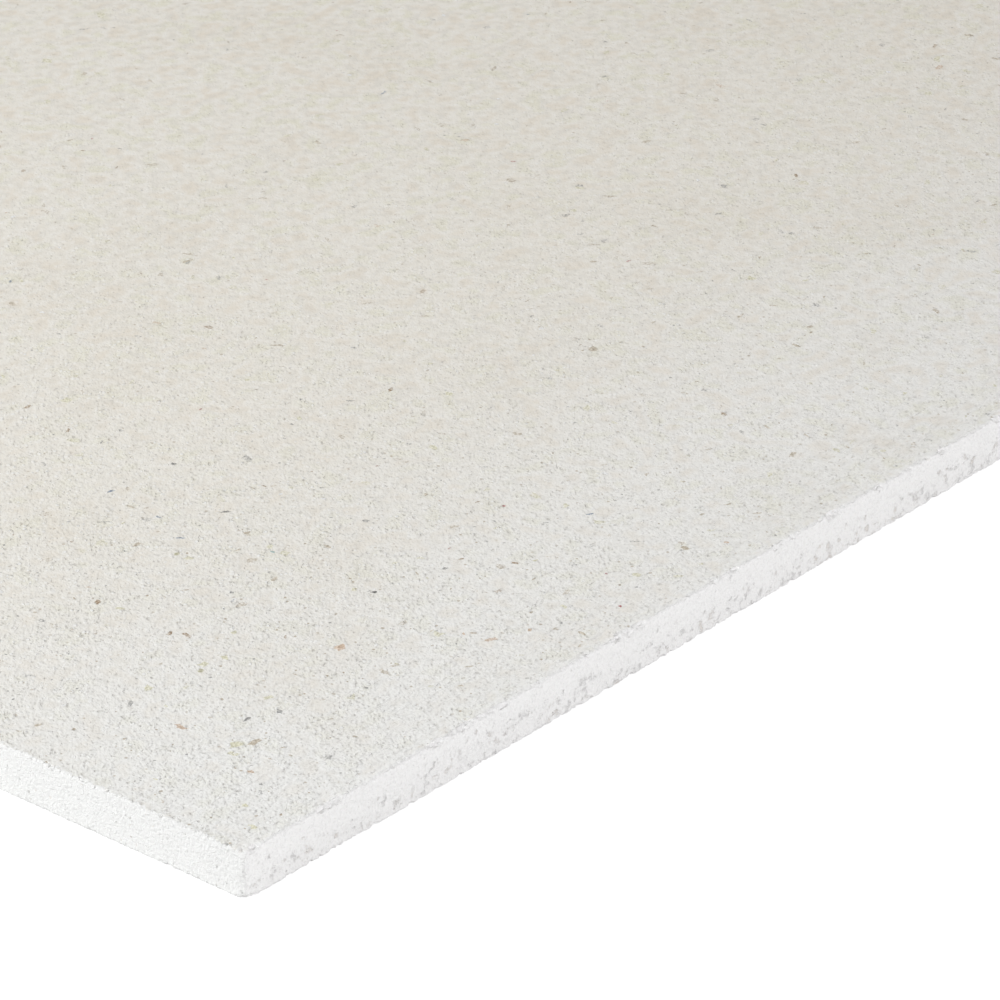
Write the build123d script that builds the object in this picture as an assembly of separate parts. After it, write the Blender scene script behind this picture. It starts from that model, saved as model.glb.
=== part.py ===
"""Gypsum fibre board: one flat sheet of dry-lining stock with square-sawn edges.

The board lies on its back face with its visible face up. X runs along its length, Y across
its width and Z through its thickness, and the origin is the middle of the back face.
"""

import os

from build123d import *

# Driving dimensions, in millimetres
BOARD_LENGTH = 1500.0  # the one-person size that such boards are sold in
BOARD_WIDTH = 1000.0
BOARD_THICKNESS = 12.5
CORNER_RADIUS = 1.2  # wear on the four upright corners, from handling
FACE_ARRIS_RADIUS = 0.4  # the saw enters here and leaves a crisp arris
BACK_ARRIS_RADIUS = 0.6  # the saw breaks out here and leaves a blunter one

PARTS_FOLDER = "parts"
NODE_NAME = "gypsum_fibre_board"


def sawn_blank() -> Part:
    """The board as it leaves the panel saw, with its upright corners already knocked off."""
    outline = RectangleRounded(BOARD_LENGTH, BOARD_WIDTH, CORNER_RADIUS)
    return extrude(outline, amount=BOARD_THICKNESS)


def ease_arrises(blank: Part) -> Part:
    """Eases the arrises all the way round the visible face and round the back face."""
    visible_face = blank.faces().sort_by(Axis.Z)[-1]
    eased = fillet(visible_face.edges(), FACE_ARRIS_RADIUS)
    back_face = eased.faces().sort_by(Axis.Z)[0]
    return fillet(back_face.edges(), BACK_ARRIS_RADIUS)


def main() -> None:
    """Builds the board and writes it as one STEP file."""
    board = ease_arrises(sawn_blank())
    board.label = NODE_NAME
    os.makedirs(PARTS_FOLDER, exist_ok=True)
    export_step(board, os.path.join(PARTS_FOLDER, f"{NODE_NAME}.step"))
    size = board.bounding_box().size
    print(f"{NODE_NAME}: {size.X:.2f} x {size.Y:.2f} x {size.Z:.2f} mm, {board.volume:.0f} mm3")


main()
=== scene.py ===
"""Dresses the gypsum fibre board: one sheet pressed from gypsum and paper fibre, sanded and sawn.

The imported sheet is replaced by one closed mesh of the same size, whose arrises are crumbled and whose
long edges are chipped and torn where the saw broke out. Paper flecks and gypsum crumbs are scattered
over it. A studio with a white floor holds the photograph's view of the near corner. Lengths are in
metres.
"""

import logging
import math
from dataclasses import dataclass
from enum import Enum
from functools import reduce

import bpy
import numpy as np
from bpy.types import Material, Mesh, Node, NodeOutputs, NodeSocket, NodeTree, Object
from mathutils import Matrix, Vector
from mathutils.geometry import delaunay_2d_cdt


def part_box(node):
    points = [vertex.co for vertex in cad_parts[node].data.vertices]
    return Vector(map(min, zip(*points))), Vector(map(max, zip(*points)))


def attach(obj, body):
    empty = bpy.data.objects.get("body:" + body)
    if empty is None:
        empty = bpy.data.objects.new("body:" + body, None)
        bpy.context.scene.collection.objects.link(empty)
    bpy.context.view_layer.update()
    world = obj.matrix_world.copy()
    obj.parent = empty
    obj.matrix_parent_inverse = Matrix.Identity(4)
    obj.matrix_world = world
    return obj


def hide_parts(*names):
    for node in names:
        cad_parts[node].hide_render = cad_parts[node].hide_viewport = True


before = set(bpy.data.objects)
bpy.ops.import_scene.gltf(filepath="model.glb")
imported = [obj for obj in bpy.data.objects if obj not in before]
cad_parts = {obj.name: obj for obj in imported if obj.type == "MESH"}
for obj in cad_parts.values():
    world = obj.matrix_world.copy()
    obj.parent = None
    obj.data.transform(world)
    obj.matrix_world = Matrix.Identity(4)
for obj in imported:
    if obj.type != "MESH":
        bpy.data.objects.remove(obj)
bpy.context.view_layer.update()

MM = 0.001
NODE_NAME = "gypsum_fibre_board"
BODY_NAME = "root"

VECTOR, NUMBER, COLOUR = "NodeSocketVector", "NodeSocketFloat", "NodeSocketColor"
Colour = tuple[float, float, float]
Range = tuple[float, float]
Feed = NodeSocket | float | int | bool | str | tuple | Material

UP = (0.0, 0.0, 1.0)
WHITE = (1.0, 1.0, 1.0)
NOISE_MIDDLE = 0.5
NOISE_DETAIL = 2.0
PLAIN_NOISE = 0.0
FINER_NOISE = 1.0
NOISE_ROUGHNESS = 0.55

log = logging.getLogger(NODE_NAME)


def rgba(colour: Colour) -> tuple[float, float, float, float]:
    """The colour with a full alpha, as a colour socket takes it."""
    return (*colour, 1.0)


class NodeGraph:
    """Adds nodes to one node tree and joins them, for shaders and geometry alike."""

    def __init__(self, tree: NodeTree) -> None:
        """Works on the given tree."""
        self.tree = tree

    def feed(self, socket: NodeSocket, value: Feed) -> None:
        """Gives an input a link or a plain value.

        Args:
            socket: the input to fill.
            value: an output socket to link, or the value itself.
        """
        if isinstance(value, NodeSocket):
            self.tree.links.new(value, socket)
        else:
            socket.default_value = value

    def add(self, kind: str, inputs: dict[str | int, Feed] | None = None, **settings: object) -> Node:
        """Adds one node.

        Args:
            kind: Blender's name for the node's type.
            inputs: values or output sockets, by the input's name or index.
            settings: the node's own properties.

        Returns:
            The new node.
        """
        node = self.tree.nodes.new(kind)
        for name, value in settings.items():
            setattr(node, name, value)
        for key, value in (inputs or {}).items():
            self.feed(node.inputs[key], value)
        return node

    def math(self, operation: str, a: Feed, b: Feed = 0.0, clamp: bool = False) -> NodeSocket:
        """One sum on two numbers, kept between 0 and 1 if it is to be clamped."""
        return self.add("ShaderNodeMath", {0: a, 1: b}, operation=operation, use_clamp=clamp).outputs[0]

    def times(self, *factors: Feed) -> NodeSocket:
        """The product of the numbers."""
        return reduce(lambda a, b: self.math("MULTIPLY", a, b), factors)

    def plus(self, *terms: Feed) -> NodeSocket:
        """The sum of the numbers."""
        return reduce(lambda a, b: self.math("ADD", a, b), terms)

    def less(self, a: Feed, b: Feed) -> NodeSocket:
        """The first number less the second."""
        return self.math("SUBTRACT", a, b)

    def vector(
        self, operation: str, a: Feed, b: Feed | None = None, scale: Feed | None = None
    ) -> NodeSocket:
        """One sum on vectors.

        Args:
            operation: the Vector Math node's operation.
            a: the first vector.
            b: the second vector, where the operation has one.
            scale: the factor of a SCALE operation.

        Returns:
            The result's socket, a number for a length or a dot product.
        """
        inputs: dict[str | int, Feed] = {0: a}
        if b is not None:
            inputs[1] = b
        if scale is not None:
            inputs["Scale"] = scale
        node = self.add("ShaderNodeVectorMath", inputs, operation=operation)
        return node.outputs["Value" if operation in ("DOT_PRODUCT", "LENGTH") else "Vector"]

    def ramp(self, value: Feed, low: Feed, high: Feed) -> NodeSocket:
        """A smooth step from 0 at low to 1 at high, where low may be the larger."""
        inputs = {"Value": value, "From Min": low, "From Max": high}
        return self.add("ShaderNodeMapRange", inputs, interpolation_type="SMOOTHSTEP").outputs["Result"]

    def span(self, value: Feed, low: Feed, high: Feed) -> NodeSocket:
        """Spreads a share from 0 to 1 over low to high."""
        inputs = {"Value": value, "To Min": low, "To Max": high}
        return self.add("ShaderNodeMapRange", inputs).outputs["Result"]

    def blend(self, share: Feed, a: Feed, b: Feed) -> NodeSocket:
        """A mix of two colours, by the share of the second."""
        return self.add("ShaderNodeMix", {0: share, 6: a, 7: b}, data_type="RGBA").outputs[2]

    def noise(
        self,
        at: Feed,
        size: float,
        detail: float = NOISE_DETAIL,
        roughness: float = NOISE_ROUGHNESS,
        output: str | int = 0,
    ) -> NodeSocket:
        """A soft noise with lumps of a size, as a number about its middle or as a colour."""
        inputs = {"Vector": at, "Scale": 1.0 / size, "Detail": detail, "Roughness": roughness}
        return self.add("ShaderNodeTexNoise", inputs).outputs[output]

    def stray(
        self, at: Feed, size: float, detail: float = NOISE_DETAIL, roughness: float = NOISE_ROUGHNESS
    ) -> NodeSocket:
        """A soft noise that strays to both sides of 0."""
        return self.less(self.noise(at, size, detail, roughness), NOISE_MIDDLE)


class ShaderGroup(NodeGraph):
    """One shader node group with named inputs and outputs, shared by the finishes."""

    def __init__(self, name: str, inputs: dict[str, str], outputs: dict[str, str]) -> None:
        """Makes the empty group.

        Args:
            name: the group's name.
            inputs: the socket type of each input, by name.
            outputs: the socket type of each output, by name.
        """
        super().__init__(bpy.data.node_groups.new(name, "ShaderNodeTree"))
        for in_out, sockets in (("INPUT", inputs), ("OUTPUT", outputs)):
            for label, kind in sockets.items():
                self.tree.interface.new_socket(label, in_out=in_out, socket_type=kind)
        self.given = self.tree.nodes.new("NodeGroupInput").outputs
        self.result = self.tree.nodes.new("NodeGroupOutput").inputs

    def give(self, results: dict[str, Feed]) -> None:
        """Feeds the group's outputs, by name."""
        for name, value in results.items():
            self.feed(self.result[name], value)

    def place(self, graph: NodeGraph, inputs: dict[str, Feed]) -> NodeOutputs:
        """Puts the group into another tree.

        Args:
            graph: the tree that uses the group.
            inputs: the values for its inputs, by name.

        Returns:
            The placed group's outputs.
        """
        return graph.add("ShaderNodeGroup", inputs, node_tree=self.tree).outputs


def keep(mesh: Mesh, name: str, kind: str, values: np.ndarray) -> None:
    """Stores one value for each point of a mesh.

    Args:
        mesh: the mesh.
        name: the attribute's name.
        kind: its data type.
        values: one row for each point.
    """
    field = mesh.attributes.new(name, kind, "POINT")
    part = {"FLOAT": "value", "FLOAT_VECTOR": "vector", "FLOAT_COLOR": "color"}[kind]
    field.data.foreach_set(part, np.asarray(values, dtype=np.float32).ravel())


class GeometryTree(NodeGraph):
    """One Geometry Nodes tree with named inputs, run once over a mesh."""

    def __init__(self, name: str) -> None:
        """Makes the tree with its geometry sockets.

        Args:
            name: the tree's name.
        """
        super().__init__(bpy.data.node_groups.new(name, "GeometryNodeTree"))
        for in_out in ("INPUT", "OUTPUT"):
            self.tree.interface.new_socket("Geometry", in_out=in_out, socket_type="NodeSocketGeometry")
        self.start = self.tree.nodes.new("NodeGroupInput")
        self.end = self.tree.nodes.new("NodeGroupOutput")
        self.values: dict[str, Feed] = {}

    def value(self, name: str, value: Feed, kind: str = NUMBER) -> NodeSocket:
        """Adds a named input and the value it runs with.

        Args:
            name: the input's name.
            value: the value for this run.
            kind: the socket's type.

        Returns:
            The input, as a socket to link from.
        """
        item = self.tree.interface.new_socket(name, in_out="INPUT", socket_type=kind)
        self.values[item.identifier] = value
        return next(s for s in self.start.outputs if s.identifier == item.identifier)

    def attribute(self, name: str, kind: str = "FLOAT") -> NodeSocket:
        """Reads a named attribute of the mesh."""
        return self.add("GeometryNodeInputNamedAttribute", {"Name": name}, data_type=kind).outputs[0]

    def store(self, geometry: Feed, name: str, value: Feed, kind: str = "FLOAT") -> NodeSocket:
        """Writes a named attribute on the points of the geometry."""
        inputs = {"Geometry": geometry, "Name": name, "Value": value}
        return self.add("GeometryNodeStoreNamedAttribute", inputs, data_type=kind).outputs[0]

    def random(self, low: Feed, high: Feed, seed: Feed) -> NodeSocket:
        """A random number from low to high for each element, by a fixed seed."""
        inputs = {2: low, 3: high, "Seed": seed}
        return self.add("FunctionNodeRandomValue", inputs, data_type="FLOAT").outputs[1]

    def finish(self, geometry: NodeSocket, material: Material, where: Feed = True) -> None:
        """Ends the tree in Realize Instances and Set Material.

        Args:
            geometry: what the tree has made.
            material: the finish it gets.
            where: which faces get it.
        """
        real = self.add("GeometryNodeRealizeInstances", {"Geometry": geometry}).outputs[0]
        finish = self.value("Finish", material, "NodeSocketMaterial")
        inputs = {"Geometry": real, "Selection": where, "Material": finish}
        self.feed(self.end.inputs[0], self.add("GeometryNodeSetMaterial", inputs).outputs[0])

    def run(self, mesh: Mesh) -> Mesh:
        """Runs the tree over a mesh.

        Args:
            mesh: the mesh that the tree starts from.

        Returns:
            The result as a plain mesh.
        """
        carrier = bpy.data.objects.new(self.tree.name, mesh)
        bpy.context.scene.collection.objects.link(carrier)
        modifier = carrier.modifiers.new(self.tree.name, "NODES")
        modifier.node_group = self.tree
        for identifier, value in self.values.items():
            modifier[identifier] = value
        depsgraph = bpy.context.evaluated_depsgraph_get()
        result = bpy.data.meshes.new_from_object(
            carrier.evaluated_get(depsgraph), preserve_all_data_layers=True, depsgraph=depsgraph
        )
        carrier.modifiers.remove(modifier)
        bpy.data.objects.remove(carrier)
        return result


@dataclass(frozen=True)
class Patches:
    """Ragged patches of a noise, by the noise's size and the levels between which a patch sets in."""

    size: float
    starts: float
    full: float
    detail: float = FINER_NOISE
    roughness: float = NOISE_ROUGHNESS

    def mask(self, graph: NodeGraph, at: Feed) -> NodeSocket:
        """Where the patches are, from 0 to 1."""
        return graph.ramp(graph.noise(at, self.size, self.detail, self.roughness), self.starts, self.full)


@dataclass(frozen=True)
class SpeckCells:
    """Small specks of paper and grit, one at most in each cell of the matrix."""

    radii: Range = (0.2, 0.5)
    core: float = 0.4
    faintest: float = 0.2

    def group(self) -> ShaderGroup:
        """Builds the specks.

        Returns:
            A group that puts out the specks' mask, weaker for some, and a random pick for each speck.
        """
        numbers = ("Cell Size", "Speck Size", "Share", "Ragged")
        inputs = {"Position": VECTOR, **dict.fromkeys(numbers, NUMBER)}
        group = ShaderGroup("fibre_specks", inputs, {"Mask": NUMBER, "Pick": NUMBER})
        cell, size, share, ragged = (group.given[name] for name in numbers)
        inputs = {"Vector": group.given["Position"], "Scale": group.math("DIVIDE", 1.0, cell)}
        cells = group.add("ShaderNodeTexVoronoi", inputs).outputs
        chance = group.add("ShaderNodeSeparateColor", {"Color": cells["Color"]}).outputs
        wobble = group.times(group.less(ragged, NOISE_MIDDLE), size)
        away = group.plus(group.times(cells["Distance"], cell), wobble)
        radius = group.times(size, group.span(chance["Red"], *self.radii))
        disc = group.ramp(away, radius, group.times(radius, self.core))
        rank = group.math("DIVIDE", chance["Green"], share)
        shown = group.times(group.math("LESS_THAN", rank, 1.0), group.span(rank, 1.0, self.faintest))
        group.give({"Mask": group.times(disc, shown), "Pick": chance["Blue"]})
        return group


@dataclass(frozen=True)
class Stain:
    """A paint that shows between two levels of a noise, by its share of a worn and of a fresh face."""

    paint: Colour
    starts: float
    full: float
    on_worn: float
    on_fresh: float

    def lay(self, graph: NodeGraph, colour: Feed, noise: Feed, fresh: Feed) -> NodeSocket:
        """Lays the paint over a colour.

        Args:
            graph: the graph that it is part of.
            colour: the colour below.
            noise: the noise that it follows.
            fresh: how fresh the face is.

        Returns:
            The stained colour.
        """
        inputs = {0: fresh, 1: self.on_fresh - self.on_worn, 2: self.on_worn}
        share = graph.add("ShaderNodeMath", inputs, operation="MULTIPLY_ADD").outputs[0]
        shown = graph.times(graph.ramp(noise, self.starts, self.full), share)
        return graph.blend(shown, colour, rgba(self.paint))


@dataclass(frozen=True)
class Grit:
    """Small specks of two paints, with the range of picks over which one goes over to the other."""

    cell: float
    size: float
    share: float
    paints: tuple[Colour, Colour]
    turnover: Range

    def lay(
        self, graph: NodeGraph, specks: ShaderGroup, at: Feed, ragged: Feed, colour: Feed, shown: Feed
    ) -> NodeSocket:
        """Lays the specks over a colour.

        Args:
            graph: the graph that they are part of.
            specks: the group of small specks.
            at: the position.
            ragged: the noise that frays them.
            colour: the colour below.
            shown: how strongly they show.

        Returns:
            The speckled colour.
        """
        inputs = {"Position": at, "Cell Size": self.cell, "Speck Size": self.size}
        spots = specks.place(graph, {**inputs, "Share": self.share, "Ragged": ragged})
        kinds = (rgba(paint) for paint in self.paints)
        kind = graph.blend(graph.ramp(spots["Pick"], *self.turnover), *kinds)
        return graph.blend(graph.times(spots["Mask"], shown), colour, kind)


@dataclass(frozen=True)
class PressedFace:
    """The sanded face: warm inside, dusted paler along the sawn margins, lined along the long edges."""

    half_length: float
    half_width: float
    heart: Colour = (0.851, 0.817, 0.750)
    dusted: Colour = (0.852, 0.854, 0.850)
    chalk: Colour = (0.935, 0.930, 0.915)
    # Colour of the grain's pores, also the painted shade in pits and along broken arrises
    pore_and_shade: Colour = (0.43, 0.40, 0.35)
    blotches: Stain = Stain((0.780, 0.730, 0.640), 0.48, 0.75, 0.27, 0.27)
    straw: Stain = Stain((0.765, 0.745, 0.555), 0.52, 0.80, 0.50, 0.16)
    rose: Stain = Stain((0.800, 0.718, 0.600), 0.48, 0.20, 0.62, 0.20)
    pulp: Stain = Stain((0.50, 0.49, 0.47), 0.55, 0.25, 0.17, 0.08)
    pale: Stain = Stain(chalk, 0.50, 0.80, 0.28, 0.18)
    pores: Stain = Stain(pore_and_shade, 0.45, 0.20, 0.0, 0.25)
    crests: Stain = Stain(chalk, 0.50, 0.72, 0.0, 0.24)
    grit: Grit = Grit(1.8 * MM, 1.0 * MM, 0.48, ((0.33, 0.325, 0.315), (0.47, 0.39, 0.30)), (0.15, 0.45))
    dust_reach: float = 160 * MM
    end_dust: float = 0.22
    edge_dust: float = 0.5
    powder_reach: Range = (110 * MM, 15 * MM)
    powder: float = 0.45
    scuff_reach: float = 320 * MM
    scuff_share: float = 0.5
    smoothed: float = 0.27
    rub_reach: Range = (2.8 * MM, 0.84 * MM)
    rub_stray: float = 9.0 * MM
    rub_wear: float = 0.85
    rub_chalk: float = 0.62
    blotch_size: float = 40 * MM
    tint_size: float = 4.8 * MM
    mottle_size: float = 2.4 * MM
    grain_size: float = 0.95 * MM
    grain_detail: float = 1.5
    boldness: float = 1.15
    lie: float = math.radians(40)
    lie_stretch: float = 1.3
    patch_levels: Range = (0.3, 0.7)
    patch_fresh: Range = (0.75, 1.2)
    # How much a broken arris deepens the face's pores, as painted shade
    arris_pore_shade: float = 0.15
    dot_cell: float = 1.15 * MM
    dot_share: float = 0.8
    dot_height: float = 0.42
    knob_size: float = 1.3 * MM
    # Dark pits beside the raised grains: painted shade, also sunk in the relief
    knob_chalk: float = 0.9
    pit_size: float = 1.1 * MM
    pit_shade: float = 0.24
    pit_shift: tuple[float, float, float] = (0.37, 0.21, 0.53)
    line_pitch: float = 0.9 * MM
    line_draw: tuple[float, float, float] = (0.16, 1.0, 1.0)
    line_reach: Range = (90 * MM, 4 * MM)

    def group(self, specks: ShaderGroup) -> ShaderGroup:
        """Builds the face's look.

        Args:
            specks: the group of small specks.

        Returns:
            A group that takes a position and the painted shade that a nearby broken arris adds to its
            pores, and puts out colour, height and how fresh the face is.
        """
        outputs = {"Color": COLOUR, "Height": NUMBER, "Fresh": NUMBER}
        group = ShaderGroup("pressed_face", {"Position": VECTOR, "Arris Shade": NUMBER}, outputs)
        at = group.given["Position"]
        place = group.add("ShaderNodeSeparateXYZ", {0: at}).outputs
        along = group.less(self.half_length, group.math("ABSOLUTE", place["X"]))
        across = group.less(self.half_width, group.math("ABSOLUTE", place["Y"]))
        mottle = group.noise(at, self.mottle_size, PLAIN_NOISE)
        tint = group.noise(at, self.tint_size, PLAIN_NOISE)
        blotch = group.noise(at, self.blotch_size, FINER_NOISE)

        # Dust along the margins, and how fresh the face is between its scuffs and rubs
        ends, edges = (group.ramp(inset, self.dust_reach, 0.0) for inset in (along, across))
        dust = group.plus(group.times(ends, self.end_dust), group.times(edges, self.edge_dust))
        colour = group.blend(dust, rgba(self.heart), rgba(self.dusted))
        powder = group.times(group.ramp(across, *self.powder_reach), self.powder)
        colour = group.blend(powder, colour, rgba(self.chalk))
        scuffs = (group.ramp(inset, self.scuff_reach, 0.0) for inset in (along, across))
        scuffed = group.plus(*(group.times(scuff, self.scuff_share) for scuff in scuffs))
        patchy = group.times(group.less(mottle, NOISE_MIDDLE), self.rub_stray)
        rubbed = group.ramp(group.plus(across, patchy), *self.rub_reach)
        fresh = group.span(scuffed, self.smoothed, 1.0)
        fresh = group.times(fresh, group.span(rubbed, 1.0, self.rub_wear))

        # Soft blotches and tints of the pulp
        tints = ((self.straw, tint), (self.rose, tint), (self.pulp, mottle), (self.pale, mottle))
        for stain, noise in ((self.blotches, blotch), *tints):
            colour = stain.lay(group, colour, noise, fresh)

        # Pores and crests of the sanded grain: darker where the grain sinks and paler where it rises,
        # with more dark pores near a broken arris as painted shade
        inputs = {"Vector": at, "Rotation": (0.0, 0.0, self.lie), "Scale": (self.lie_stretch, 1.0, 1.0)}
        laid = group.add("ShaderNodeMapping", inputs, vector_type="TEXTURE").outputs[0]
        grain = group.noise(laid, self.grain_size, self.grain_detail)
        fresh = group.times(fresh, group.span(group.ramp(tint, *self.patch_levels), *self.patch_fresh))
        sunk = group.less(grain, group.times(group.given["Arris Shade"], self.arris_pore_shade))
        colour = self.pores.lay(group, colour, sunk, fresh)
        colour = self.crests.lay(group, colour, grain, fresh)

        # Single grains that stand out, dark pits beside them as painted shade, and chalk where the arris
        # is rubbed
        dots = {"Cell Size": self.dot_cell, "Share": self.dot_share, "Ragged": grain}
        aside = group.vector("ADD", laid, self.pit_shift)
        knobs = specks.place(group, {"Position": laid, "Speck Size": self.knob_size, **dots})["Mask"]
        shaded_pits = specks.place(group, {"Position": aside, "Speck Size": self.pit_size, **dots})["Mask"]
        knobs, shaded_pits = (group.times(mask, fresh) for mask in (knobs, shaded_pits))
        shares = ((knobs, self.knob_chalk), (shaded_pits, self.pit_shade), (rubbed, self.rub_chalk))
        for (mask, share), paint in zip(shares, (self.chalk, self.pore_and_shade, self.chalk)):
            colour = group.blend(group.times(mask, share), colour, rgba(paint))
        colour = self.grit.lay(group, specks, at, grain, colour, fresh)

        # Relief of the grain, the dots and the sanding lines along the long edges
        drawn_out = group.vector("MULTIPLY", at, self.line_draw)
        lines = group.stray(drawn_out, self.line_pitch, PLAIN_NOISE)
        lines = group.times(lines, group.ramp(across, *self.line_reach))
        bumps = group.times(grain, fresh, self.boldness)
        dots = group.times(group.less(knobs, shaded_pits), self.dot_height)
        group.give({"Color": colour, "Height": group.plus(bumps, dots, lines), "Fresh": fresh})
        return group


@dataclass(frozen=True)
class SawnGypsum:
    """The sawn and broken gypsum: fresh white, with grey painted shade and tan in the holes that tearing
    leaves.
    """

    fresh: Colour = (0.882, 0.877, 0.867)
    # Grey painted shade for the holes and low spots of torn gypsum
    hollow_shade: Colour = (0.56, 0.55, 0.54)
    tan: Colour = (0.66, 0.59, 0.52)
    grit: Grit = Grit(2.4 * MM, 1.2 * MM, 0.5, ((0.30, 0.29, 0.27), tan), (0.3, 0.6))
    grit_shade: float = 0.75
    tints: Patches = Patches(6 * MM, 0.4, 0.65, PLAIN_NOISE)
    grain_size: float = 0.7 * MM
    grain_detail: float = FINER_NOISE
    grain_roughness: float = 0.65
    pore_levels: Range = (0.5, 0.2)
    pore_shade: Range = (0.24, 0.26)
    hole_size: float = 2.2 * MM
    hole_detail: float = 3.0
    hole_roughness: float = 0.75
    hole_starts: Range = (0.34, 0.47)
    hole_full: Range = (0.22, 0.30)
    hole_shade: float = 0.48
    hole_depth: float = 0.6

    def group(self, specks: ShaderGroup) -> ShaderGroup:
        """Builds the sawn look.

        Args:
            specks: the group of small specks.

        Returns:
            A group that takes a position and how torn it is, and puts out colour and height.
        """
        inputs, outputs = {"Position": VECTOR, "Tear": NUMBER}, {"Color": COLOUR, "Height": NUMBER}
        group = ShaderGroup("sawn_gypsum", inputs, outputs)
        at, tear = group.given["Position"], group.given["Tear"]
        grain = group.noise(at, self.grain_size, self.grain_detail, self.grain_roughness)
        # Holes that tearing leaves: grey painted shade, tan in patches, and sunk in the relief
        hollow_shade = group.noise(at, self.hole_size, self.hole_detail, self.hole_roughness)
        levels = (group.span(tear, *ends) for ends in (self.hole_starts, self.hole_full))
        holes = group.ramp(hollow_shade, *levels)
        torn = group.blend(self.tints.mask(group, at), rgba(self.hollow_shade), rgba(self.tan))
        colour = group.blend(group.times(holes, self.hole_shade), rgba(self.fresh), torn)
        # Painted shade in the grain's low spots, a little stronger where torn
        pores = group.times(group.ramp(grain, *self.pore_levels), group.span(tear, *self.pore_shade))
        colour = group.blend(pores, colour, rgba(self.hollow_shade))
        colour = self.grit.lay(group, specks, at, grain, colour, self.grit_shade)
        group.give({"Color": colour, "Height": group.less(grain, group.times(holes, self.hole_depth))})
        return group


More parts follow.
